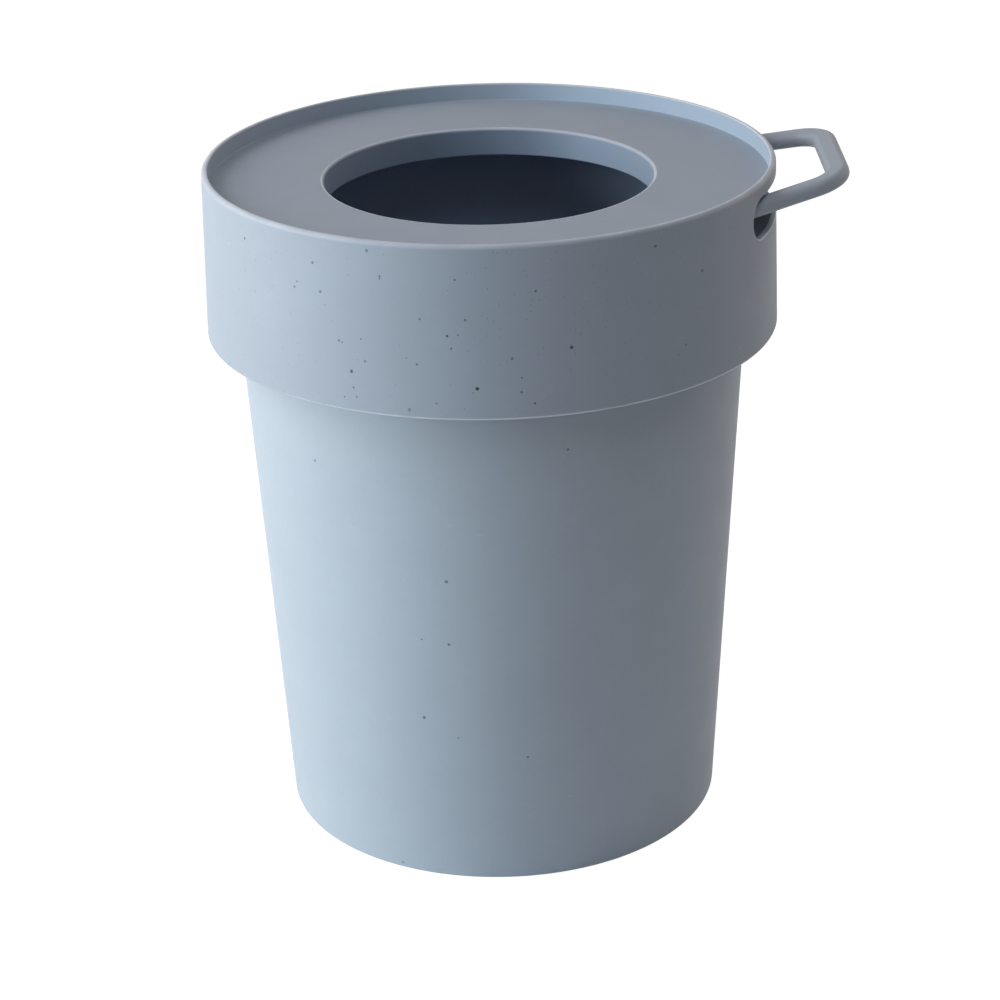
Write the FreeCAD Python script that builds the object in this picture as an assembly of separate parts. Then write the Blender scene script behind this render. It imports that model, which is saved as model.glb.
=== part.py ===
import FreeCAD, Part
import math
import os

# A round kitchen bin: a tapered bucket with a loop handle at its rim, and a
# loose collar that sits on the rim, hides the edge of a bag and frames the
# mouth. The handle reaches out through a slot in the collar's wall.
# Millimetres. The origin is the centre of the base, +Z is up and the handle
# points along +X.

# Bucket
bucket_height = 354.9
bucket_base_radius = 119.9
bucket_rim_radius = 139.6
bucket_wall = 2.8
bucket_floor = 3.2
base_outer_rounding = 1.8
base_inner_rounding = 9.0
foot_height = 2.6
foot_width = 6.0
foot_inset = 1.5
foot_rounding = 0.9
rim_bead_width = 2.4
rim_bead_height = 5.0
rim_bead_rounding = 0.9

# Collar, whose wall hangs outside the rim
collar_overhang = 10.9
collar_flare = 2.0
collar_skirt_drop = 76.7
collar_wall = 3.1
panel_thickness = 2.5
lip_height = 9.4
lip_outer_rounding = 2.3
lip_crest_land = 0.2
lip_foot_rounding = 0.6
skirt_edge_rounding = 0.9
mouth_radius = 86.9
mouth_sleeve_depth = 15.5
mouth_sleeve_wall = 2.4
mouth_edge_rounding = 1.4
sleeve_tip_rounding = 0.8
sleeve_root_rounding = 1.2

# Ring under the panel that centres the collar inside the bucket's rim
centring_ring_depth = 6.0
centring_ring_wall = 2.0
centring_clearance = 0.8
centring_tip_rounding = 0.6

# Slot in the collar's wall, round the handle's arms
slot_side_clearance = 13.9
slot_height = 21.6
slot_rise_above_rim = 4.2
slot_bite_into_panel = 0.2
slot_edge_rounding = 0.8

# Loop handle
handle_reach = 31.0
handle_bar_span = 81.0
handle_arm_spread = 10.7
handle_slope_degrees = 11.8
handle_rise_above_rim = 0.7
handle_band_width = 12.0
handle_band_height = 8.4
handle_edge_land = 0.4
handle_corner_radius = 16.0
handle_root_depth = 40.0
handle_clearance = 0.3
handle_shoulder_clearance = 0.8

# Every cutting shape runs this far past what it cuts
overrun = 5.0


def unit(a, b):
    """Unit vector from point a to point b."""
    step = b.sub(a)
    return step.multiply(1 / step.Length)


def corner_arc(before, corner, after, radius):
    """Arc that rounds one corner of an outline, as its start, middle and end."""
    back = unit(corner, before)
    ahead = unit(corner, after)
    half = math.acos(max(-1, min(1, back.dot(ahead)))) / 2
    setback = radius / math.tan(half)
    start = corner + back * setback
    end = corner + ahead * setback
    towards = unit(FreeCAD.Vector(), back + ahead)
    middle = corner + towards * (radius / math.sin(half) - radius)
    return start, middle, end


def rounded_edges(corners, closed):
    """Straight edges through the corners, each corner rounded by its radius."""
    count = len(corners)
    joints = []
    for i, (point, radius) in enumerate(corners):
        is_end = not closed and i in (0, count - 1)
        if radius <= 0 or is_end:
            joints.append((point, None, point))
        else:
            before = corners[i - 1][0]
            after = corners[(i + 1) % count][0]
            joints.append(corner_arc(before, point, after, radius))
    edges = []
    for i, (start, middle, end) in enumerate(joints):
        if middle is not None:
            edges.append(Part.Arc(start, middle, end).toShape())
        if closed or i < count - 1:
            following = joints[(i + 1) % count][0]
            edges.append(Part.LineSegment(end, following).toShape())
    return edges


def turned(profile):
    """Solid of revolution about Z from (radius, height, rounding) corners."""
    corners = [(FreeCAD.Vector(r, 0, z), rounding) for r, z, rounding in profile]
    face = Part.Face(Part.Wire(rounded_edges(corners, closed=True)))
    half_turn = 180
    near = face.revolve(FreeCAD.Vector(), FreeCAD.Vector(0, 0, 1), half_turn)
    far = near.copy()
    far.rotate(FreeCAD.Vector(), FreeCAD.Vector(0, 0, 1), half_turn)
    return near.fuse(far).removeSplitter()


def bucket_radius_at(height):
    """Outer radius of the tapered wall at a height above the base."""
    taper = (bucket_rim_radius - bucket_base_radius) / bucket_height
    return bucket_base_radius + taper * height


def bucket_outline():
    """Outer corners of the bucket from the foot up to the top of the rim."""
    bead_foot = bucket_height - rim_bead_height
    bead_radius = bucket_rim_radius + rim_bead_width
    return [
        (bucket_base_radius, 0, base_outer_rounding),
        (bucket_radius_at(bead_foot), bead_foot, rim_bead_rounding),
        (bead_radius, bead_foot, rim_bead_rounding),
        (bead_radius, bucket_height, rim_bead_rounding),
    ]


def make_bucket():
    """Tapered bucket with a beaded rim, a raised floor and a foot ring."""
    floor_top = foot_height + bucket_floor
    inner_rim = bucket_rim_radius - bucket_wall
    inner_floor = bucket_radius_at(floor_top) - bucket_wall
    foot_outer = bucket_base_radius - base_outer_rounding - foot_inset
    foot_inner = foot_outer - foot_width
    profile = bucket_outline() + [
        (inner_rim, bucket_height, rim_bead_rounding),
        (inner_floor, floor_top, base_inner_rounding),
        (0, floor_top, 0),
        (0, foot_height, 0),
        (foot_inner, foot_height, foot_rounding),
        (foot_inner, 0, foot_rounding),
    ]
    return turned(profile)


def bucket_envelope():
    """The bucket filled solid, used to trim what butts against its wall."""
    return turned(bucket_outline() + [(0, bucket_height, 0), (0, 0, 0)])


collar_lip_radius = bucket_rim_radius + collar_overhang
collar_foot_radius = collar_lip_radius + collar_flare
lip_inner_rounding = collar_wall - lip_outer_rounding - lip_crest_land
panel_top = bucket_height + panel_thickness
lip_top = panel_top + lip_height
skirt_foot = bucket_height - collar_skirt_drop
handle_root_span = handle_bar_span + 2 * handle_arm_spread
handle_edge_rounding = handle_band_height / 2 - handle_edge_land
slot_width = handle_root_span + handle_band_width + 2 * slot_side_clearance


def collar_radius_at(height):
    """Outer radius of the collar's wall, which widens a little downwards."""
    draft = (collar_foot_radius - collar_lip_radius) / (lip_top - skirt_foot)
    return collar_lip_radius + draft * (lip_top - height)


def make_collar_blank():
    """Collar before its slot: skirt, lip, panel, mouth sleeve, centring ring."""
    sleeve_foot = panel_top - mouth_sleeve_depth
    sleeve_outer = mouth_radius + mouth_sleeve_wall
    ring_outer = bucket_rim_radius - bucket_wall - centring_clearance
    ring_inner = ring_outer - centring_ring_wall
    ring_foot = bucket_height - centring_ring_depth
    lip_inner_top = collar_lip_radius - collar_wall
    return turned([
        (collar_foot_radius, skirt_foot, skirt_edge_rounding),
        (collar_lip_radius, lip_top, lip_outer_rounding),
        (lip_inner_top, lip_top, lip_inner_rounding),
        (lip_inner_top, panel_top, lip_foot_rounding),
        (mouth_radius, panel_top, mouth_edge_rounding),
        (mouth_radius, sleeve_foot, sleeve_tip_rounding),
        (sleeve_outer, sleeve_foot, sleeve_tip_rounding),
        (sleeve_outer, bucket_height, sleeve_root_rounding),
        (ring_inner, bucket_height, 0),
        (ring_inner, ring_foot, centring_tip_rounding),
        (ring_outer, ring_foot, centring_tip_rounding),
        (ring_outer, bucket_height, 0),
        (collar_radius_at(bucket_height) - collar_wall, bucket_height, 0),
        (collar_foot_radius - collar_wall, skirt_foot, skirt_edge_rounding),
    ])


def slot_cutter():
    """Stadium-shaped bar along X that opens the slot in the collar's wall."""
    top = bucket_height + slot_rise_above_rim
    foot = top - slot_height
    end_radius = slot_height / 2
    side = slot_width / 2 - end_radius
    upper_left = FreeCAD.Vector(0, -side, top)
    upper_right = FreeCAD.Vector(0, side, top)
    lower_right = FreeCAD.Vector(0, side, foot)
    lower_left = FreeCAD.Vector(0, -side, foot)
    right_end = FreeCAD.Vector(0, slot_width / 2, foot + end_radius)
    left_end = FreeCAD.Vector(0, -slot_width / 2, foot + end_radius)
    outline = Part.Wire([
        Part.LineSegment(upper_left, upper_right).toShape(),
        Part.Arc(upper_right, right_end, lower_right).toShape(),
        Part.LineSegment(lower_right, lower_left).toShape(),
        Part.Arc(lower_left, left_end, upper_left).toShape(),
    ])
    reach = max(collar_lip_radius, collar_foot_radius) + overrun
    return Part.Face(outline).extrude(FreeCAD.Vector(reach, 0, 0))


def slot_inner_radius():
    """Radius that the slot cuts in to: through the skirt, into the panel's edge."""
    return collar_radius_at(bucket_height) - collar_wall - slot_bite_into_panel


def is_slot_rim(edge):
    """Whether an edge runs round the slot on the outer face of the collar."""
    top = bucket_height + slot_rise_above_rim
    widest = max(collar_lip_radius, collar_foot_radius)
    region = FreeCAD.BoundBox(
        0, -slot_width / 2 - slot_edge_rounding, top - slot_height - slot_edge_rounding,
        widest, slot_width / 2 + slot_edge_rounding, top + slot_edge_rounding)
    outside = all(
        math.hypot(end.X, end.Y) > collar_radius_at(end.Z) - collar_wall / 2
        for end in edge.Vertexes)
    return outside and region.isInside(edge.BoundBox)


def make_collar():
    """Collar with the handle's slot through its wall, its outer edge softened."""
    core = Part.makeCylinder(
        slot_inner_radius(), lip_top - skirt_foot, FreeCAD.Vector(0, 0, skirt_foot))
    collar = make_collar_blank().cut(slot_cutter().cut(core))
    return collar.makeFillet(slot_edge_rounding, [e for e in collar.Edges if is_slot_rim(e)])


def handle_section(start, along):
    """Rounded rectangle across the band, square to its path at one end."""
    across = FreeCAD.Vector(0, 0, 1).cross(along)
    half_width = across * (handle_band_width / 2)
    half_height = FreeCAD.Vector(0, 0, handle_band_height / 2)
    corners = [
        (start - half_width - half_height, handle_edge_rounding),
        (start + half_width - half_height, handle_edge_rounding),
        (start + half_width + half_height, handle_edge_rounding),
        (start - half_width + half_height, handle_edge_rounding),
    ]
    return Part.Wire(rounded_edges(corners, closed=True))


def make_handle():
    """Loop handle: two spread arms and a bar, raised outwards, cut to seat."""
    root_x = collar_lip_radius
    bar_x = collar_lip_radius + handle_reach
    spread = handle_arm_spread / handle_reach
    arm_start_x = bucket_rim_radius - handle_root_depth
    start_y = handle_root_span / 2 + spread * (root_x - arm_start_x)
    level = bucket_height + handle_rise_above_rim
    path = [
        (FreeCAD.Vector(arm_start_x, -start_y, level), 0),
        (FreeCAD.Vector(bar_x, -handle_bar_span / 2, level), handle_corner_radius),
        (FreeCAD.Vector(bar_x, handle_bar_span / 2, level), handle_corner_radius),
        (FreeCAD.Vector(arm_start_x, start_y, level), 0),
    ]
    spine = Part.Wire(rounded_edges(path, closed=False))
    along = unit(path[0][0], path[1][0])
    loop = spine.makePipeShell([handle_section(path[0][0], along)], True, False)
    pivot = FreeCAD.Vector(root_x, 0, level)
    loop.rotate(pivot, FreeCAD.Vector(0, 1, 0), -handle_slope_degrees)
    under_panel = Part.makeCylinder(
        slot_inner_radius() + handle_shoulder_clearance, handle_band_height + overrun,
        FreeCAD.Vector(0, 0, bucket_height - handle_clearance))
    return loop.cut(bucket_envelope()).cut(under_panel)


os.makedirs("parts", exist_ok=True)
pieces = {
    "bucket": make_bucket(),
    "carry_handle": make_handle(),
    "collar": make_collar(),
}
for name, shape in pieces.items():
    print(name, len(shape.Solids), shape.isValid(), round(shape.Volume))
    shape.exportStep("parts/" + name + ".step")
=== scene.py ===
"""Kitchen bin: a tapered bucket, its loop handle and the loose collar over its rim."""

import logging
import math
from dataclasses import dataclass
from enum import Enum

import bmesh
import bpy
import numpy as np
import numpy.typing as npt
from mathutils import Matrix, Vector


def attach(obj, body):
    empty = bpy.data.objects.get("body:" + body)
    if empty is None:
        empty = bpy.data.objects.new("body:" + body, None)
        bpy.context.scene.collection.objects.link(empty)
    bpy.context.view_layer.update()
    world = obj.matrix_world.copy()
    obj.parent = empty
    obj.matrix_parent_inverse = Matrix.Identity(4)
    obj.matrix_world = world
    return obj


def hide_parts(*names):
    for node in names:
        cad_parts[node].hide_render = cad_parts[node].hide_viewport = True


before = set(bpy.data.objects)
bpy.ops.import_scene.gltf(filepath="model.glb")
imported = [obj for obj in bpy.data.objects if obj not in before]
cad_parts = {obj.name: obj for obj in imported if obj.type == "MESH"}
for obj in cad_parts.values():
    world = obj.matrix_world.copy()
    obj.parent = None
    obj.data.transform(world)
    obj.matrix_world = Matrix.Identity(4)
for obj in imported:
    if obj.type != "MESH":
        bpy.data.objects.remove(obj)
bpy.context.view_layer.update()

MM = 0.001

Floats = npt.NDArray[np.float64]
Ints = npt.NDArray[np.int64]
Mask = npt.NDArray[np.bool_]
Pair = tuple[float, float]
Triple = tuple[float, float, float]
Span = tuple[float, float, float, float]
Socket = bpy.types.NodeSocket
Node = bpy.types.Node
Tree = bpy.types.NodeTree

# Pieces of an arc, the distance of a close pair's second point from it, and the
# run below which a flat between two arcs shares their pale edge, worn and painted highlight, in
# millimetres.
ARC_PIECES = 7
CLOSE_PAIR = 0.3
NARROW_RUN = 1.0
WELDS_PER_MM = 1000.0

log = logging.getLogger("bin")


class Part(Enum):
    """The bin's three mouldings, by the name of the CAD node that each stands for."""

    BUCKET = "bucket"
    HANDLE = "carry_handle"
    COLLAR = "collar"


class Body(Enum):
    """The bodies that move: the bucket with its handle, and the collar."""

    BUCKET = "bucket"
    COLLAR = "collar"


@dataclass(frozen=True)
class Corner:
    """A corner of an outline in the plane of radius and height, in millimetres.

    Its last field says how much pale edge its rounding takes, worn and painted
    highlight together, from 0 to 1, where the rounding begins and where it ends.
    """

    r: float
    z: float
    rounding: float = 0.0
    rub_and_highlight: Pair = (0.1, 0.1)


@dataclass(frozen=True)
class Outline:
    """Points of a rounded outline: radius, height, edge share and corner rows.

    `edge` is a corner's share of pale edge, partly worn and partly painted highlight, on its
    rounding, and 0 on the flats.
    `first` and `last` give the rows on which each corner's arc begins and ends.
    """

    r: Floats
    z: Floats
    edge: Floats
    first: dict[str, int]
    last: dict[str, int]

    def plateau(self, begin: str, end: str) -> Floats:
        """1 on the rows between two corners, falling to 0 across their arcs."""
        rows = [self.first[begin], self.last[begin], self.first[end], self.last[end]]
        return np.interp(np.arange(len(self.r)), rows, [0.0, 1.0, 1.0, 0.0])


def trace_outline(
    corners: dict[str, Corner], run: float, heights: dict[str, Floats] | None = None
) -> Outline:
    """Rounds a closed outline and splits its straight runs.

    At a corner of rounding q between unit directions a (back) and b (ahead),
    with half the angle between them h, the arc starts q / tan(h) back along a
    and its centre lies q / sin(h) along the bisector of a and b. Straight runs
    are split evenly, and get a close pair of points beside each arc, so that
    the turn of the shading stays on the arc.

    Args:
        corners: The outline's corners in order, outside on the right.
        run: The longest piece of a straight run, in millimetres.
        heights: For some runs, by the name of their first corner, the heights
            of their points instead of an even split.

    Returns:
        The outline's points.
    """
    heights = heights or {}
    turns = list(corners.values())
    count = len(turns)
    arcs: list[Floats] = []
    for k, corner in enumerate(turns):
        here = np.array([corner.r, corner.z])
        if corner.rounding <= 0:
            arcs.append(here[None, :])
            continue
        before, after = turns[k - 1], turns[(k + 1) % count]
        a = np.array([before.r, before.z]) - here
        b = np.array([after.r, after.z]) - here
        a, b = a / np.linalg.norm(a), b / np.linalg.norm(b)
        half = math.acos(float(np.clip(a @ b, -1, 1))) / 2
        bisector = (a + b) / np.linalg.norm(a + b)
        centre = here + bisector * corner.rounding / math.sin(half)
        start = here + a * corner.rounding / math.tan(half) - centre
        end = here + b * corner.rounding / math.tan(half) - centre
        turn = math.pi - 2 * half
        sweep = np.linspace(0, 1, ARC_PIECES + 1)[:, None]
        arc = (np.sin((1 - sweep) * turn) * start + np.sin(sweep * turn) * end) / math.sin(turn)
        arcs.append(centre + arc)
    points: list[Floats] = []
    edge: list[Floats] = []
    first, last, total = {}, {}, 0
    for k, (name, arc) in enumerate(zip(corners, arcs)):
        first[name], last[name] = total, total + len(arc) - 1
        start, end = arc[-1], arcs[(k + 1) % count][0]
        length = float(np.linalg.norm(end - start))
        if name in heights:
            share = (heights[name] - start[1]) / (end[1] - start[1])
        elif length < 1e-6:
            share = np.zeros(0)
        else:
            pieces = max(1, math.ceil(length / run))
            share = np.linspace(0, 1, pieces + 1)[1:-1]
            margin = min(CLOSE_PAIR, length / 4) / length
            share = np.unique(np.concatenate([[margin], share, [1 - margin]]))
        between = start + (end - start) * share[:, None]
        points += [arc, between]
        edge_share, next_edge_share = turns[k].rub_and_highlight, turns[(k + 1) % count].rub_and_highlight
        edge += [
            (len(arc) > 1) * np.linspace(*edge_share, len(arc)),
            (length < NARROW_RUN) * np.linspace(edge_share[1], next_edge_share[0], len(between)),
        ]
        total += len(arc) + len(between)
    path = np.concatenate(points)
    return Outline(path[:, 0], path[:, 1], np.concatenate(edge), first, last)


def turned_grid(r: Floats, z: Floats, angle: Floats) -> Floats:
    """Surface of revolution: (r cos t, r sin t, z) for each row and angle t.

    Args:
        r: Radii, one for each row, or for each row and angle.
        z: Heights, as the radii.
        angle: Angles in radians, one for each column, or for each point.

    Returns:
        Points, rows by columns by 3.
    """
    angle = np.broadcast_to(angle, np.broadcast_shapes(np.shape(r), np.shape(angle)))
    return np.stack([r * np.cos(angle), r * np.sin(angle), np.broadcast_to(z, angle.shape)], -1)


def grid_quads(rows: int, columns: int, wrap_rows: bool = False, start: int = 0) -> Ints:
    """Cells of a grid of points whose last column joins the first.

    Args:
        rows: Rows of points.
        columns: Columns of points.
        wrap_rows: Whether the last row joins the first too.
        start: Index of the grid's first point.

    Returns:
        Corner indices, by pieces of row and column by 4.
    """
    i = np.arange(rows if wrap_rows else rows - 1)[:, None]
    j = np.arange(columns)[None, :]
    i2, j2 = (i + 1) % rows, (j + 1) % columns
    cells = [i * columns + j, i * columns + j2, i2 * columns + j2, i2 * columns + j]
    return np.stack([np.broadcast_to(c, (len(i), columns)) for c in cells], -1) + start


@dataclass
class Shell:
    """A closed surface under construction: points, marks and four-cornered cells."""

    points: Floats
    cells: Ints
    marks: dict[str, Floats]

    @classmethod
    def of_grid(cls, points: Floats, marks: dict[str, Floats | float]) -> "Shell":
        """The shell of a grid whose last column joins the first, with marks spread over it."""
        shape = points.shape[:2]
        spread = {name: np.broadcast_to(mark, shape).ravel() for name, mark in marks.items()}
        return cls(points.reshape(-1, 3), grid_quads(*shape).reshape(-1, 4), spread)

    def welded(self) -> "Shell":
        """Merges points that coincide within a micrometre and drops unused ones."""
        key = np.round(self.points * WELDS_PER_MM).astype(np.int64)
        used = np.zeros(len(key), bool)
        used[self.cells.ravel()] = True
        kept = np.flatnonzero(used)
        _, first, index = np.unique(key[kept], axis=0, return_index=True, return_inverse=True)
        renumber = np.zeros(len(key), np.int64)
        renumber[kept] = index.ravel()
        order = kept[first]
        marks = {name: mark[order] for name, mark in self.marks.items()}
        return Shell(self.points[order], renumber[self.cells], marks)

    def faces(self) -> list[list[int]]:
        """Cells with repeated corners left out, as three or four indices each."""
        keep = self.cells != np.roll(self.cells, -1, axis=1)
        sound = keep.sum(1) >= 3
        rows, flags = self.cells[sound], keep[sound]
        whole = flags.all(1)
        partial = rows[~whole][flags[~whole]].reshape(-1, 3)
        return rows[whole].tolist() + partial.tolist()

    def mesh(self, name: str) -> bpy.types.Mesh:
        """Welds the surface into a mesh in metres, with its marks as attributes."""
        shell = self.welded()
        mesh = bpy.data.meshes.new(name)
        mesh.from_pydata((shell.points * MM).tolist(), [], shell.faces())
        for mark, values in shell.marks.items():
            layer = mesh.attributes.new(mark, "FLOAT", "POINT")
            layer.data.foreach_set("value", values.astype(np.float32))
        return mesh


def lay_mesh(name: str, shell: Shell) -> bpy.types.Object:
    """Makes an object of a shell, with faces outward and each flat kept flat.

    A vertex's shading normal is the sum of its faces' normals, each as long as
    the face's area, so flats keep their own and the turn stays on the roundings.

    Args:
        name: The object's name.
        shell: The surface, in millimetres.

    Returns:
        The object, at the origin, in metres.
    """
    mesh = shell.mesh(name)
    work = bmesh.new()
    work.from_mesh(mesh)
    bmesh.ops.recalc_face_normals(work, faces=work.faces)
    open_edges = sum(1 for e in work.edges if not e.is_manifold)
    work.to_mesh(mesh)
    work.free()
    mesh.update()
    mesh.polygons.foreach_set("use_smooth", np.ones(len(mesh.polygons), bool))
    mesh.normals_split_custom_set_from_vertices(area_normals(mesh).tolist())
    piece = bpy.data.objects.new(name, mesh)
    bpy.context.scene.collection.objects.link(piece)
    log.info("%s: %d faces, %d open edges", name, len(mesh.polygons), open_edges)
    return piece


def area_normals(mesh: bpy.types.Mesh) -> Floats:
    """Each vertex's face normals, summed by area and made unit long."""
    faces = len(mesh.polygons)
    normal, area = np.zeros(faces * 3), np.zeros(faces)
    size = np.zeros(faces, np.int64)
    corner = np.zeros(len(mesh.loops), np.int64)
    mesh.polygons.foreach_get("normal", normal)
    mesh.polygons.foreach_get("area", area)
    mesh.polygons.foreach_get("loop_total", size)
    mesh.loops.foreach_get("vertex_index", corner)
    weighted = np.repeat(normal.reshape(-1, 3) * area[:, None], size, axis=0)
    total = np.zeros((len(mesh.vertices), 3))
    np.add.at(total, corner, weighted)
    return total / np.maximum(np.linalg.norm(total, axis=1, keepdims=True), 1e-12)


def relaxed(values: Floats, held: Mask, rounds: int = 1200) -> Floats:
    """Spreads held values over a grid: each free value becomes its neighbours' mean.

    Args:
        values: The grid's values, those that are held already set.
        held: Where the values stay.
        rounds: How often the means of the four neighbours are taken.

    Returns:
        The values once they have settled.
    """
    spread = values.copy()
    for _ in range(rounds):
        mean = spread.copy()
        mean[1:-1, 1:-1] = (
            spread[:-2, 1:-1] + spread[2:, 1:-1] + spread[1:-1, :-2] + spread[1:-1, 2:]
        ) / 4
        spread = np.where(held, values, mean)
    return spread


def strewn_at(y: Floats, rise: float = 40.0) -> Floats:
    """Share of strewn flecks: none on the front, where each is placed, rising behind."""
    return np.clip(y / rise, 0.0, 1.0)


@dataclass
class Bucket:
    """The tapered bucket: wall, beaded rim, floor and foot ring. Millimetres."""

    height: float = 354.9
    base_radius: float = 119.9
    rim_radius: float = 139.6
    wall: float = 2.8
    floor: float = 3.2
    base_outer_rounding: float = 1.8
    base_inner_rounding: float = 9.0
    foot_height: float = 2.6
    foot_width: float = 6.0
    foot_inset: float = 1.5
    foot_rounding: float = 0.9
    bead_width: float = 2.4
    bead_height: float = 5.0
    bead_rounding: float = 0.9
    gate_radius: float = 3.2
    gate_depth: float = 0.5
    gate_slant: float = 0.4
    gate_rounding: float = 0.2
    columns: int = 320
    longest_run: float = 12.0

    def radius_at(self, z: float) -> float:
        """Outer radius of the wall at a height."""
        return self.base_radius + (self.rim_radius - self.base_radius) * z / self.height

    def corners(self) -> dict[str, Corner]:
        """The bucket's section from the axis under the base, round to the axis above it."""
        floor_top = self.foot_height + self.floor
        bead_foot = self.height - self.bead_height
        bead = self.rim_radius + self.bead_width
        foot_outer = self.base_radius - self.base_outer_rounding - self.foot_inset
        foot_inner = foot_outer - self.foot_width
        gate_top = self.foot_height + self.gate_depth
        gate_foot = self.gate_radius + self.gate_slant
        soft = self.bead_rounding
        floor_radius = self.radius_at(floor_top) - self.wall
        return {
            "gate_middle": Corner(0.0, gate_top),
            "gate_top": Corner(self.gate_radius, gate_top, self.gate_rounding),
            "gate_foot": Corner(gate_foot, self.foot_height, self.gate_rounding),
            "foot_root": Corner(foot_inner, self.foot_height, self.foot_rounding),
            "foot": Corner(foot_inner, 0.0, self.foot_rounding),
            "base": Corner(self.base_radius, 0.0, self.base_outer_rounding),
            "bead_root": Corner(self.radius_at(bead_foot), bead_foot, soft),
            "bead_foot": Corner(bead, bead_foot, soft),
            "bead_top": Corner(bead, self.height, soft),
            "rim": Corner(self.rim_radius - self.wall, self.height, soft),
            "floor_edge": Corner(floor_radius, floor_top, self.base_inner_rounding),
            "floor_middle": Corner(0.0, floor_top),
        }

    def build(self) -> bpy.types.Object:
        """Turns the section about the axis and closes it at both poles."""
        outline = trace_outline(self.corners(), self.longest_run)
        angle = np.linspace(0, 2 * math.pi, self.columns, endpoint=False)
        points = turned_grid(outline.r[:, None], outline.z[:, None], angle[None, :])
        row = np.arange(len(outline.r))[:, None]
        wall = (row >= outline.last["base"]) & (row <= outline.first["bead_root"])
        marks = {
            "edge": outline.edge[:, None],
            # Painted shade: the bucket's inside takes the finish's darker, bluer inner colour.
            "inside": row >= outline.last["rim"],
            "dusty": wall,
            "strewn": strewn_at(points[..., 1]) * wall,
        }
        return lay_mesh("bucket_moulding", Shell.of_grid(points, marks))


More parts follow.
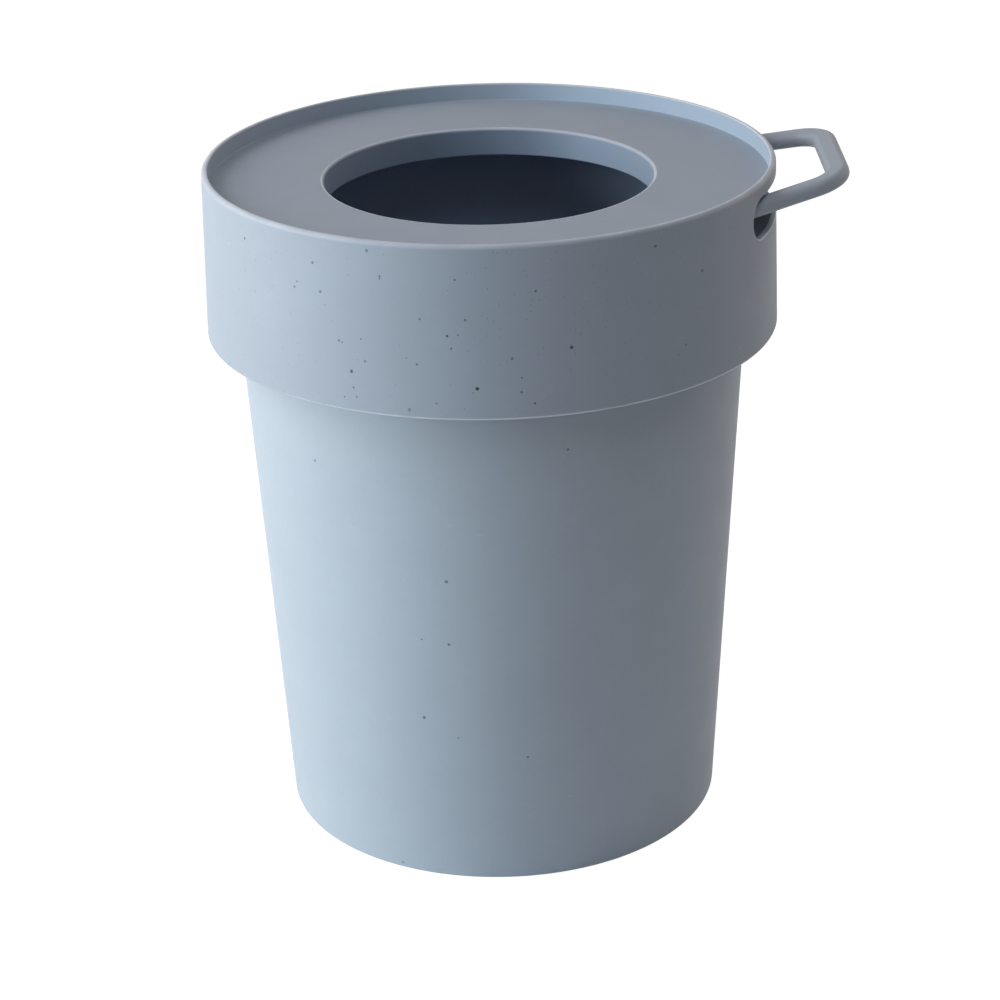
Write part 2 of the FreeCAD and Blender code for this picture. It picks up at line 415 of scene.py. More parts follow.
@dataclass
class Collar:
    """The collar: skirt, lip, sunk panel, mouth sleeve, centring ring and slot. Millimetres."""

    rim_height: float = 354.9
    lip_radius: float = 150.5
    foot_radius: float = 152.5
    skirt_drop: float = 76.7
    wall: float = 3.1
    panel_thickness: float = 2.5
    lip_height: float = 9.4
    lip_outer_rounding: float = 2.3
    lip_inner_rounding: float = 0.6
    lip_foot_rounding: float = 0.35
    skirt_rounding: float = 0.9
    mouth_radius: float = 86.9
    sleeve_depth: float = 15.5
    sleeve_wall: float = 2.4
    mouth_rounding: float = 1.4
    sleeve_tip_rounding: float = 0.8
    sleeve_root_rounding: float = 1.2
    ring_outer: float = 136.0
    ring_wall: float = 2.0
    ring_depth: float = 6.0
    ring_rounding: float = 0.6
    ring_root_rounding: float = 0.25
    slot_span: float = 120.6
    slot_end_radius: float = 10.8
    slot_centre: float = 348.3
    slot_rounding: float = 0.8
    longest_run: float = 8.0
    fine_reach: float = 33.0
    fine_step: float = 0.4
    coarse_step: float = 1.3
    end_share: float = 0.8
    side_rows: int = 14
    fan_height: float = 16.0
    fan_rows: int = 15
    outer_rows: int = 16
    inner_rows: int = 12
    lip_rows: int = 10
    foot_margin: float = 1.2
    crest_margin: float = 0.4
    bend_rings: int = 6
    bend_margin: float = 0.15
    # Painted light on the inner walls of lip and sleeve, on the side that faces the lamps: how pale
    # each turns, and the span of x over which it rises.
    lip_painted_light: float = 0.42
    lip_painted_light_from: Pair = (5.0, 50.0)
    sleeve_painted_light: float = 0.28
    sleeve_painted_light_from: Pair = (20.0, 50.0)
    # Painted highlight: the skirt foot's pale edge falls to its least share as x falls over this
    # span, away from the side where it catches light.
    foot_highlight_from: Pair = (-115.0, -55.0)
    foot_highlight_least: float = 0.15

    @property
    def panel_top(self) -> float:
        """Height of the sunk panel's face."""
        return self.rim_height + self.panel_thickness

    @property
    def lip_top(self) -> float:
        """Height of the lip's crest."""
        return self.panel_top + self.lip_height

    @property
    def skirt_foot(self) -> float:
        """Height of the skirt's lower edge."""
        return self.rim_height - self.skirt_drop

    def outer_at(self, z: Floats | float) -> Floats:
        """Radius of the wall's outer face: it widens evenly from lip to foot."""
        flare = (self.foot_radius - self.lip_radius) / (self.lip_top - self.skirt_foot)
        return self.lip_radius + flare * (self.lip_top - np.asarray(z))

    def inner_at(self, z: Floats | float) -> Floats:
        """Radius of the skirt's inner face, straight from the foot to the panel."""
        top = float(self.outer_at(self.rim_height)) - self.wall
        foot = self.foot_radius - self.wall
        return foot + (top - foot) * (np.asarray(z) - self.skirt_foot) / self.skirt_drop

    def corners(self) -> dict[str, Corner]:
        """The collar's section, from the skirt's foot up the outside and round."""
        rim, tip, ring = self.rim_height, self.sleeve_tip_rounding, self.ring_rounding
        sleeve_foot = self.panel_top - self.sleeve_depth
        sleeve_outer = self.mouth_radius + self.sleeve_wall
        lip_inner = self.lip_radius - self.wall
        ring_foot, ring_inner = rim - self.ring_depth, self.ring_outer - self.ring_wall
        # The pairs after the roundings set pale edges, partly worn and partly painted highlight, on
        # the foot, the lip's crests and the mouth.
        return {
            "foot": Corner(self.foot_radius, self.skirt_foot, self.skirt_rounding, (1.0, 1.0)),
            "crest": Corner(self.lip_radius, self.lip_top, self.lip_outer_rounding, (0.0, 0.8)),
            "crest_inner": Corner(lip_inner, self.lip_top, self.lip_inner_rounding, (1.0, 0.8)),
            "lip_foot": Corner(lip_inner, self.panel_top, self.lip_foot_rounding, (0.0, 0.0)),
            "mouth": Corner(self.mouth_radius, self.panel_top, self.mouth_rounding, (1.0, 0.1)),
            "sleeve_tip": Corner(self.mouth_radius, sleeve_foot, tip),
            "sleeve_tip_outer": Corner(sleeve_outer, sleeve_foot, tip),
            "sleeve_root": Corner(sleeve_outer, rim, self.sleeve_root_rounding),
            "ring_root_inner": Corner(ring_inner, rim, self.ring_root_rounding),
            "ring_inner": Corner(ring_inner, ring_foot, ring),
            "ring": Corner(self.ring_outer, ring_foot, ring),
            "ring_root": Corner(self.ring_outer, rim, self.ring_root_rounding),
            "panel_edge": Corner(float(self.inner_at(rim)), rim),
            "foot_inner": Corner(
                self.foot_radius - self.wall, self.skirt_foot, self.skirt_rounding
            ),
        }

    def angles(self) -> tuple[Floats, int, int]:
        """Columns round the collar, close together about the slot.

        Returns:
            The angles, once round from the start of the close ones, and the two
            columns that the slot's ends are drawn to.
        """
        reach = math.radians(self.fine_reach)
        fine = np.linspace(-reach, reach, round(2 * self.fine_reach / self.fine_step) + 1)
        rest = 2 * math.pi - 2 * reach
        coarse = round(math.degrees(rest) / self.coarse_step)
        far = reach + np.arange(1, coarse) * rest / coarse
        corner_y = self.slot_span / 2 + self.slot_end_radius * self.end_share
        edge = math.asin(corner_y / float(self.outer_at(self.slot_centre)))
        right = int(np.argmin(np.abs(fine - edge)))
        return np.concatenate([fine, far]), len(fine) - 1 - right, right

    def slot_loop(self, columns: int) -> tuple[Floats, Floats]:
        """The slot's outline as centres and directions, from its lower left corner.

        The slot is a run of centres between y = -span/2 and +span/2 with a
        circle at each end, and a point of its outline is a centre plus the end
        radius times its direction. The four corners, where the circles meet the
        rim's height and its mirror below, part four evenly spaced sides.

        Args:
            columns: Pieces along the bottom and along the top.

        Returns:
            Centres and unit directions in (y, z), point by point round the slot.
        """
        half, radius = self.slot_span / 2, self.slot_end_radius
        lean = math.asin((self.rim_height - self.slot_centre) / radius)
        cap = (math.pi / 2 - lean) * radius
        length = 2 * cap + self.slot_span
        along = np.linspace(0, length, columns + 1)
        y = np.clip(along - cap - half, -half, half)
        turn = np.where(
            along < cap,
            math.pi - lean - along / radius,
            np.where(along > length - cap, lean + (length - along) / radius, math.pi / 2),
        )
        side = np.linspace(-lean, lean, self.side_rows + 1)
        end = np.full_like(side, half)
        parts = [(y, -turn), (end, side), (y[::-1], turn[::-1]), (-end, math.pi + side)]
        centre = np.concatenate([part[0][:-1] for part in parts])
        angle = np.concatenate([part[1][:-1] for part in parts])
        centres = np.stack([centre, np.full_like(centre, self.slot_centre)], -1)
        return centres, np.stack([np.cos(angle), np.sin(angle)], -1)

    def warped(
        self,
        angle: Floats,
        z: Floats,
        box: tuple[int, int, int, int],
        loop: Floats,
        top_shift: Floats | None = None,
    ) -> tuple[Floats, Floats]:
        """Draws a wall's grid to the slot's outline.

        The grid lines that bound the box of cells over the slot take the
        outline's places, and the shift dies away towards the patch's edges.

        Args:
            angle: The patch's columns.
            z: The patch's rows, upwards.
            box: Lowest row, highest row, left column and right column of the box.
            loop: Outline as angle and height, round from the lower left corner.
            top_shift: Shift of angle held along the top row, or None for none.

        Returns:
            Angle and height of every point of the patch.
        """
        low, high, left, right = box
        shape = len(z), len(angle)
        up, across = np.arange(low, high), np.arange(left, right)
        bottom, top = np.full(right - left, low), np.full(right - left, high)
        row = np.concatenate([bottom, up, top, up[::-1] + 1])
        column = np.concatenate(
            [across, np.full(high - low, right), across[::-1] + 1, np.full(high - low, left)]
        )
        held = np.zeros(shape, bool)
        held[[0, -1]] = held[:, [0, -1]] = True
        held[row, column] = True
        result = []
        for axis, values in enumerate((angle, z[:, None])):
            base = np.broadcast_to(values, shape)
            shift = np.zeros(shape)
            if top_shift is not None and axis == 0:
                shift[-1] = top_shift
            shift[row, column] = loop[:, axis] - base[row, column]
            result.append(base + relaxed(shift, held))
        return result[0], result[1]

    def build(self) -> bpy.types.Object:
        """Builds the turned section, opens the slot in both faces and joins them.

        The section's grid is closed both ways. Over the slot the cells of the
        outer and the inner face are left out and their borders drawn to the
        slot's outline, on the outer face a rounding further out. The slot's
        wall joins the two borders. Above the rim's height its inner border is
        held down to the panel's edge.
        """
        rim, side = self.rim_height, self.side_rows
        low_side = 2 * self.slot_centre - rim
        band = np.linspace(low_side, rim, side + 1)
        skirt = self.skirt_foot + self.foot_margin, low_side - self.fan_height
        fan = np.linspace(low_side - self.fan_height, low_side, self.fan_rows)[:-1]
        crest = self.lip_top - self.lip_outer_rounding - self.crest_margin
        lip = np.linspace(rim, crest, self.lip_rows)[1:]
        outer_z = np.concatenate([np.linspace(*skirt, self.outer_rows)[:-1], fan, band, lip])
        inner_z = np.concatenate([np.linspace(*skirt, self.inner_rows)[:-1], fan, band[:-1]])
        heights = {"foot": outer_z, "panel_edge": inner_z[::-1]}
        outline = trace_outline(self.corners(), self.longest_run, heights)
        first, last = outline.first, outline.last
        angle, left, right = self.angles()
        rows, columns = len(outline.r), len(angle)
        near = np.arange(left + right + 1)
        centres, directions = self.slot_loop(right - left)
        true = centres + directions * self.slot_end_radius
        rounded = centres + directions * (self.slot_end_radius + self.slot_rounding)
        below = np.stack([true[:, 0], np.minimum(true[:, 1], rim)], -1)
        radius = np.repeat(outline.r[:, None], columns, 1)
        height = np.repeat(outline.z[:, None], columns, 1)
        theta = np.repeat(angle[None, :], rows, 0)

        def turned(loop: Floats, r: Floats) -> Floats:
            """A loop in (y, z) as angles on a face of radius r, and heights."""
            return np.stack([np.arcsin(loop[:, 0] / r), loop[:, 1]], -1)

        def drawn(face: Ints, loop: Floats, top_shift: Floats | None = None) -> list[int]:
            """Draws a face's rows to a loop and returns the rows that bound its hole."""
            z = outline.z[face]
            low = int(np.argmin(np.abs(z - low_side)))
            box = (low, low + side, left, right)
            patch = face[:, None], near
            theta[patch], height[patch] = self.warped(angle[near], z, box, loop, top_shift)
            return sorted((int(face[low]), int(face[low + side])))

        outer = np.arange(last["foot"], first["crest"] + 1)
        holes = [drawn(outer, turned(rounded, self.outer_at(rounded[:, 1])))]
        radius[outer] = self.outer_at(height[outer])

        inner = np.arange(last["panel_edge"], first["foot_inner"] + 1)[::-1]
        loop = turned(below, self.inner_at(below[:, 1]))
        top = slice(right - left + side, 2 * (right - left) + side + 1)
        top_angle = np.append(loop, loop[:1], 0)[top, 0][::-1]
        top_shift = np.zeros(len(near))
        top_shift[left : right + 1] = top_angle - angle[left : right + 1]
        fade = np.linspace(0, 1, left + 1)
        top_shift[: left + 1] = top_shift[left] * fade
        top_shift[right:] = top_shift[right] * fade[::-1]
        holes.append(drawn(inner, loop, top_shift))
        radius[inner] = self.inner_at(height[inner])
        under = np.arange(last["ring_root"], first["panel_edge"])
        share = np.linspace(0, 1, len(under) + 1)[:-1]
        theta[under[:, None], near] += share[:, None] * top_shift

        points = turned_grid(radius, height, theta)
        cells = grid_quads(rows, columns, wrap_rows=True)
        for lowest, highest in holes:
            cells[lowest:highest, left:right] = -1
        flat = cells.reshape(-1, 4)
        flat = flat[flat[:, 0] >= 0]
        tunnel = self.tunnel(rounded, true)
        tunnel_cells = grid_quads(*tunnel.shape[:2], start=rows * columns)
        everything = np.concatenate([points.reshape(-1, 3), tunnel.reshape(-1, 3)])
        marks = self.marks(outline, points, outer, tunnel.shape[:2])
        shell = Shell(everything, np.concatenate([flat, tunnel_cells.reshape(-1, 4)]), marks)
        return lay_mesh("collar_moulding", shell)

    def marks(
        self, outline: Outline, points: Floats, outer: Ints, tunnel: tuple[int, int]
    ) -> dict[str, Floats]:
        """Marks for the finish: pale edges, worn and painted highlight, inner walls of painted
        shade and painted light, dust and flecks.

        The skirt foot's pale edge, a painted highlight, and the painted light on the inner walls
        rise with x over their spans.

        Args:
            outline: The section.
            points: The turned section's points.
            outer: Rows of the wall's outer face.
            tunnel: Rings and places of the slot's wall.

        Returns:
            For each mark, a value for each point of the section, then of the tunnel.
        """
        row, x = np.arange(len(outline.r))[:, None], points[..., 0]
        sleeve = outline.plateau("mouth", "sleeve_tip")[:, None]
        lip = outline.plateau("crest_inner", "lip_foot")[:, None]
        wall = (row >= outer[0]) & (row <= outer[-1])
        # Painted light: the inner walls of lip and sleeve turn pale as x rises, where they face the
        # lamps.
        painted_light = self.lip_painted_light * lip * np.interp(x, self.lip_painted_light_from, [0, 1])
        painted_light += self.sleeve_painted_light * sleeve * np.interp(x, self.sleeve_painted_light_from, [0, 1])
        worn_and_lit = np.repeat(outline.edge[:, None], x.shape[1], 1)
        # Painted highlight: the skirt foot's pale edge fades to its least share towards -x.
        worn_and_lit[: outline.last["foot"] + 2] *= np.interp(x[0], self.foot_highlight_from, [self.foot_highlight_least, 1.0])
        # The slot's rounded edge takes a full pale edge, partly worn and partly painted highlight.
        slot_edge = np.zeros(tunnel)
        slot_edge[: self.bend_rings - 1] = 1.0

        def full(values: Floats) -> Floats:
            """A mark's values on the section's points, and 0 on the slot's wall."""
            return np.append(np.broadcast_to(values, x.shape), np.zeros(tunnel))

        return {
            "edge": np.append(worn_and_lit, slot_edge),
            # Painted shade: the mouth sleeve takes the finish's darker, bluer inner colour.
            "inside": full(sleeve),
            "lip": full(lip),
            "painted_light": full(painted_light),
            "dusty": full(wall + sleeve),
            "strewn": full(strewn_at(points[..., 1]) * wall),
        }

    def tunnel(self, rounded: Floats, true: Floats) -> Floats:
        """The slot's wall, ring by ring from the outer face to the inner.

        A curve (1 - t)^2 start + 2 t (1 - t) corner + t^2 inward rounds the
        outer edge. From there the wall runs along X.

        Args:
            rounded: Outline on the outer face where the rounding begins, in (y, z).
            true: The slot's own outline, in (y, z).

        Returns:
            Points, rings by places round the slot by 3.
        """

        def on_wall(outline: Floats, r: Floats) -> Floats:
            """Points of an outline in (y, z) on the cylinder or cone of radius r."""
            x = np.sqrt(r**2 - outline[:, 0] ** 2)
            return np.stack([x, outline[:, 0], outline[:, 1]], -1)

        start = on_wall(rounded, self.outer_at(rounded[:, 1]))
        corner = on_wall(true, self.outer_at(true[:, 1]))
        inward = corner - np.array([self.slot_rounding, 0.0, 0.0])
        t = np.linspace(0, 1, self.bend_rings)[:, None, None]
        bend = (1 - t) ** 2 * start + 2 * t * (1 - t) * corner + t**2 * inward
        below = np.minimum(true[:, 1], self.rim_height)
        back = on_wall(true, self.inner_at(below))
        foot = back.copy()
        foot[:, 2] = below
        margin = inward + (back - inward) * self.bend_margin
        middle = (inward + back) / 2
        return np.concatenate([bend, np.stack([margin, middle, back, foot])])


@dataclass
class Handle:
    """The loop handle: two spread arms and a bar, raised outwards. Millimetres."""

    rim_height: float = 354.9
    pivot: float = 150.5
    reach: float = 30.5
    bar_span: float = 82.8
    root_span: float = 101.8
    slope: float = 12.0
    rise: float = 0.75
    width: float = 12.2
    height: float = 8.2
    rounding: float = 3.7
    corner_radius: float = 20.0
    seat_radius: float = 138.2
    shoulder_radius: float = 148.27
    clearance: float = 0.3
    wear_and_highlight: float = 0.35
    arc_steps: int = 9
    bend_steps: int = 12
    bar_steps: int = 7
    hidden_rings: int = 6
    arm_steps: int = 9

    def section(self) -> Floats:
        """The band's rounded rectangle, across (outwards) and up, closed.

        Returns:
            Offsets from the band's middle, point by point, anticlockwise.
        """
        half_w = self.width / 2 - self.rounding
        half_h = self.height / 2 - self.rounding
        turn = np.linspace(0, math.pi / 2, self.arc_steps)
        quarter = np.arange(4)[:, None] * math.pi / 2 + turn
        sign_w = np.array([1, -1, -1, 1])[:, None]
        sign_h = np.array([1, 1, -1, -1])[:, None]
        across = sign_w * half_w + self.rounding * np.cos(quarter)
        up = sign_h * half_h + self.rounding * np.sin(quarter)
        return np.stack([across.ravel(), up.ravel()], -1)

    def arm(self) -> tuple[Floats, Floats, Floats]:
        """Root, corner and unit direction of the arm's middle line, level, in (x, y)."""
        root = np.array([self.pivot, self.root_span / 2])
        corner = np.array([self.pivot + self.reach, self.bar_span / 2])
        return root, corner, (corner - root) / np.linalg.norm(corner - root)

    def half_path(self) -> tuple[Floats, Floats]:
        """Middle line of half the loop, level, from the arm's bend to the bar's middle.

        The arm runs from half the root span at the pivot to half the bar's
        span at the reach. The bend is an arc tangent to arm and bar.

        Returns:
            Points and unit directions outward from the loop, in (x, y).
        """
        _, corner, arm = self.arm()
        bar = np.array([0.0, -1.0])
        half = math.acos(float(-arm @ bar)) / 2
        setback = self.corner_radius / math.tan(half)
        bisector = (bar - arm) / np.linalg.norm(bar - arm)
        centre = corner + bisector * self.corner_radius / math.sin(half)
        start = math.atan2(*(corner - arm * setback - centre)[::-1])
        turn = np.linspace(start, 0.0, self.bend_steps)
        out = np.stack([np.cos(turn), np.sin(turn)], -1)
        bend = centre + out * self.corner_radius
        run = np.linspace(bend[-1, 1], 0.0, self.bar_steps)[1:]
        straight = np.stack([np.full_like(run, corner[0]), run], -1)
        outs = np.concatenate([out, np.tile([1.0, 0.0], (len(run), 1))])
        return np.concatenate([bend, straight]), outs

    def placed(self, across: Floats, up: Floats, path: Floats, out: Floats) -> Floats:
        """Carries section points along the path and tips the loop up about the pivot.

        Args:
            across: Offsets outward.
            up: Offsets upward.
            path: Middle line in (x, y), one for each section.
            out: Unit directions outward, as the path.

        Returns:
            Points in the bin's frame.
        """
        flat = path[..., None, :] + across[..., None] * out[..., None, :]
        level = self.rim_height + self.rise
        tip = math.radians(self.slope)
        x = flat[..., 0] - self.pivot
        z = np.broadcast_to(up, x.shape)
        return np.stack([
            self.pivot + x * math.cos(tip) - z * math.sin(tip),
            flat[..., 1],
            level + x * math.sin(tip) + z * math.cos(tip),
        ], -1)

    def arm_rings(self, bend: Floats) -> Floats:
        """Rings of the arm from its seat in the wall to the bend.

        Each section point runs back along the arm from the bend's first ring.
        It meets an upright cylinder of radius R where the square of its
        distance from the axis is R squared. Inside the shoulder's radius the
        band is cut level just under the panel.

        Args:
            bend: The bend's first ring.

        Returns:
            Rings by section points by 3, the seat first.
        """
        root, _, arm = self.arm()
        ends = np.stack([root, root + arm])
        line = self.placed(np.zeros(1), np.zeros(1), ends, np.zeros((2, 2)))[:, 0]
        back = line[0] - line[1]

        def travel(radius: float) -> Floats:
            """How far each point runs back to the cylinder of a radius."""
            a = back[:2] @ back[:2]
            b = 2 * bend[:, :2] @ back[:2]
            c = (bend[:, :2] ** 2).sum(1) - radius**2
            return (-b - np.sqrt(b**2 - 4 * a * c)) / (2 * a)

        seat, step = travel(self.seat_radius), travel(self.shoulder_radius)
        inside = seat + (step - seat) * np.linspace(0, 1, self.hidden_rings)[:, None]
        outside = step * np.linspace(1, 0, self.arm_steps)[:-1, None]
        hidden = bend + inside[..., None] * back
        hidden[..., 2] = np.minimum(hidden[..., 2], self.rim_height - self.clearance)
        return np.concatenate([hidden, bend + outside[..., None] * back])

    def build(self) -> bpy.types.Object:
        """Sweeps half the loop, mirrors it across the middle and closes its ends."""
        section = self.section()
        path, out = self.half_path()
        rings = self.placed(section[:, 0], section[:, 1], path, out)
        half = np.concatenate([self.arm_rings(rings[0]), rings])
        mirrored = half[::-1][1:] * np.array([1.0, -1.0, 1.0])
        whole = np.concatenate([half, mirrored])
        caps = [np.repeat(whole[i].mean(0)[None, None], len(section), 1) for i in (0, -1)]
        grid = np.concatenate([caps[0], whole, caps[1]])
        marks = {"edge": self.wear_and_highlight, "strewn": 1.0}
        return lay_mesh("handle_moulding", Shell.of_grid(grid, marks))


class Net:
    """A node tree under construction, with short ways to add and link nodes."""

    def __init__(self, tree: Tree) -> None:
        """Takes the tree of a material, a world or a group."""
        self.tree = tree

    def put(self, kind: str, inputs: dict[str | int, object], **settings: object) -> Node:
        """Adds a node, sets its properties, and links or sets its inputs.

        Args:
            kind: The node's type, without the ShaderNode that it starts with.
            inputs: For an input's name or number, a socket to link or a value.
            settings: Properties of the node.

        Returns:
            The new node.
        """
        node = self.tree.nodes.new("ShaderNode" + kind)
        for name, value in settings.items():
            setattr(node, name, value)
        for name, value in inputs.items():
            if isinstance(value, Socket):
                self.tree.links.new(value, node.inputs[name])
            else:
                node.inputs[name].default_value = value
        return node

    def noise(self, place: Socket, scale: float, detail: float = 2.0, rough: float = 0.5) -> Socket:
        """Fractal noise of a scale, in cycles to the metre."""
        inputs = {"Vector": place, "Scale": scale, "Detail": detail, "Roughness": rough}
        return self.put("TexNoise", inputs).outputs["Fac"]

    def mapped(self, value: Socket, span: Span) -> Socket:
        """Maps a value from one range to another, clamped: (from low, high, to low, high)."""
        inputs = {"Value": value, **dict(enumerate(span, 1))}
        return self.put("MapRange", inputs).outputs["Result"]

    def maths(self, kind: str, a: Socket | float, b: Socket | float = 0.0) -> Socket:
        """One arithmetic step on two values."""
        return self.put("Math", {0: a, 1: b}, operation=kind).outputs[0]

    def product(self, *values: Socket | float) -> Socket:
        """Multiplies values together."""
        total = values[0]
        for value in values[1:]:
            total = self.maths("MULTIPLY", total, value)
        return total

    def mixed(self, share: Socket, a: Socket | Triple, b: Socket | Triple) -> Socket:
        """Mixes two colours by a share."""
        a, b = ((*c, 1.0) if isinstance(c, tuple) else c for c in (a, b))
        return self.put("Mix", {0: share, 6: a, 7: b}, data_type="RGBA").outputs[2]


class Effect(Net):
    """A shared node group: a place and values in, values that change over the surface out."""

    def __init__(self, name: str, inputs: dict[str, float], outputs: tuple[str, ...]) -> None:
        """Makes the group.

        Args:
            name: The group's name.
            inputs: The values that it takes beside the place, with their defaults.
            outputs: The values that it gives out.
        """
        super().__init__(bpy.data.node_groups.new(name, "ShaderNodeTree"))
        new_socket = self.tree.interface.new_socket
        new_socket("Place", in_out="INPUT", socket_type="NodeSocketVector")
        for label, default in inputs.items():
            socket = new_socket(label, in_out="INPUT", socket_type="NodeSocketFloat")
            socket.default_value = default
        for label in outputs:
            new_socket(label, in_out="OUTPUT", socket_type="NodeSocketFloat")
        self.start = self.tree.nodes.new("NodeGroupInput")
        self.end = self.tree.nodes.new("NodeGroupOutput")
        self.place = self.given("Place")

    def given(self, label: str) -> Socket:
        """One of the group's inputs."""
        return self.start.outputs[label]

    def give(self, **values: Socket) -> Tree:
        """Links the group's outputs and returns the finished group."""
        for label, value in values.items():
            self.tree.links.new(value, self.end.inputs[label])
        return self.tree


@dataclass(frozen=True)
class PlacedFlecks:
    """Dark flecks in a moulding's outer wall, each with its place, size and depth.

    `spots` holds each fleck's turn about the axis in degrees, its height and
    its radius in millimetres, and how dark it is, from 0 to 1. The wall's
    radius runs evenly from `foot`, a radius and a height, to `top`. A fleck is
    full within `core` times its radius and gone at `fringe` times it.
    """

    name: str
    foot: Pair
    top: Pair
    spots: tuple[Span, ...]
    core: float = 1.2
    fringe: float = 1.9
    bend_scale: float = 1300.0
    bend: float = 0.6

    def group(self) -> Tree:
        """Group that shows each fleck where the surface passes near its middle.

        The place is bent by a fine noise first, so that no fleck is quite round.

        Returns:
            The group: place in, a mask of flecks out.
        """
        net = Effect(self.name, {}, ("Mask",))
        inputs = {"Vector": net.place, "Scale": self.bend_scale, "Detail": 1.0}
        colour = net.put("TexNoise", inputs).outputs["Color"]
        middle = {0: colour, 1: (0.5, 0.5, 0.5)}
        shift = net.put("VectorMath", middle, operation="SUBTRACT").outputs[0]
        bent = {0: shift, 1: (self.bend * MM,) * 3, 2: net.place}
        bent_place = net.put("VectorMath", bent, operation="MULTIPLY_ADD").outputs[0]
        mask: Socket | float = 0.0
        (foot_r, foot_z), (top_r, top_z) = self.foot, self.top
        for turn, height, size, depth in self.spots:
            r = foot_r + (top_r - foot_r) * (height - foot_z) / (top_z - foot_z)
            along = math.radians(turn)
            centre = (r * math.cos(along) * MM, r * math.sin(along) * MM, height * MM)
            ends = {0: bent_place, 1: centre}
            gap = net.put("VectorMath", ends, operation="DISTANCE").outputs["Value"]
            reach = (size * self.core * MM, size * self.fringe * MM)
            mask = net.maths("MAXIMUM", mask, net.mapped(gap, (*reach, depth, 0.0)))
        return net.give(Mask=mask)


@dataclass(frozen=True)
class StrewnFlecks:
    """Dark flecks, coarse and fine, scattered in the plastic, and faint dust.

    Each size is a field of cells with a centre each: cells to the metre, the
    flecks' radius in cells and their share of cells. That share follows a slow
    noise, so flecks gather in places, and dust with them.
    """

    sizes: tuple[Triple, ...] = ((75.0, 0.055, 0.28), (150.0, 0.075, 0.22))
    gather_scale: float = 9.0
    crowding: Span = (0.38, 0.66, 0.25, 1.6)
    wobble_share: float = 12.0
    wobble: Span = (0.3, 0.7, 0.6, 1.3)
    dust_scale: float = 330.0
    dust_reach: Span = (0.06, 0.16, 1.0, 0.0)
    dust_share: float = 0.45

    def group(self) -> Tree:
        """Group: place and amount in, masks of flecks and of dust out."""
        net = Effect("plastic_flecks", {"Amount": 0.5}, ("Mask", "Dust"))
        crowd = net.mapped(net.noise(net.place, self.gather_scale, 1.0), self.crowding)
        amount = net.product(crowd, net.given("Amount"))

        def cells(scale: float, share: float, amount: Socket) -> tuple[Socket, Socket]:
            """Distance from the nearest centre, and which cells hold a fleck."""
            field = net.put("TexVoronoi", {"Vector": net.place, "Scale": scale})
            lot = net.put("SeparateColor", {"Color": field.outputs["Color"]}).outputs[0]
            drawn = net.maths("LESS_THAN", lot, net.product(amount, share))
            return field.outputs["Distance"], drawn

        mask: Socket | float = 0.0
        for scale, radius, share in self.sizes:
            distance, drawn = cells(scale, share, amount)
            wobble = net.noise(net.place, scale * self.wobble_share, 1.0)
            reach = net.product(net.mapped(wobble, self.wobble), radius)
            shown = net.product(net.maths("LESS_THAN", distance, reach), drawn)
            mask = net.maths("MAXIMUM", mask, shown)
        distance, drawn = cells(self.dust_scale, self.dust_share, crowd)
        dust = net.product(net.mapped(distance, self.dust_reach), drawn)
        return net.give(Mask=mask, Dust=dust)


@dataclass(frozen=True)
class MouldedSkin:
    """Spark-eroded grain, slow waviness, cloudy tone and uneven gloss.

    Each noise has a scale in cycles to the metre and a detail. A layer of the
    height adds its height in millimetres, and a layer of the cloud its share.
    """

    fine: Triple = (1500.0, 3.0, 0.03)
    coarse: Triple = (420.0, 2.0, 0.022)
    wave: Triple = (14.0, 2.0, 0.25)
    large_cloud: Triple = (26.0, 4.0, 0.7)
    small_cloud: Triple = (260.0, 2.0, 0.3)
    cloud_span: Span = (0.35, 0.65, 0.0, 1.0)
    matt: Pair = (60.0, 5.0)
    matt_span: Span = (0.3, 0.7, 0.0, 1.0)
    roughness: float = 0.55

    def group(self) -> Tree:
        """Group: place in, bump height in millimetres, cloud and matt values out."""
        net = Effect("moulded_skin", {}, ("Height", "Cloud", "Matt"))

        def layer(scale: float, detail: float, amount: float) -> Socket:
            """Noise of a scale, times an amount."""
            return net.product(net.noise(net.place, scale, detail, self.roughness), amount)

        grain = net.maths("ADD", layer(*self.fine), layer(*self.coarse))
        cloud = net.maths("ADD", layer(*self.large_cloud), layer(*self.small_cloud))
        matt = net.noise(net.place, *self.matt, self.roughness)
        return net.give(
            Height=net.maths("ADD", grain, layer(*self.wave)),
            Cloud=net.mapped(cloud, self.cloud_span),
            Matt=net.mapped(matt, self.matt_span),
        )


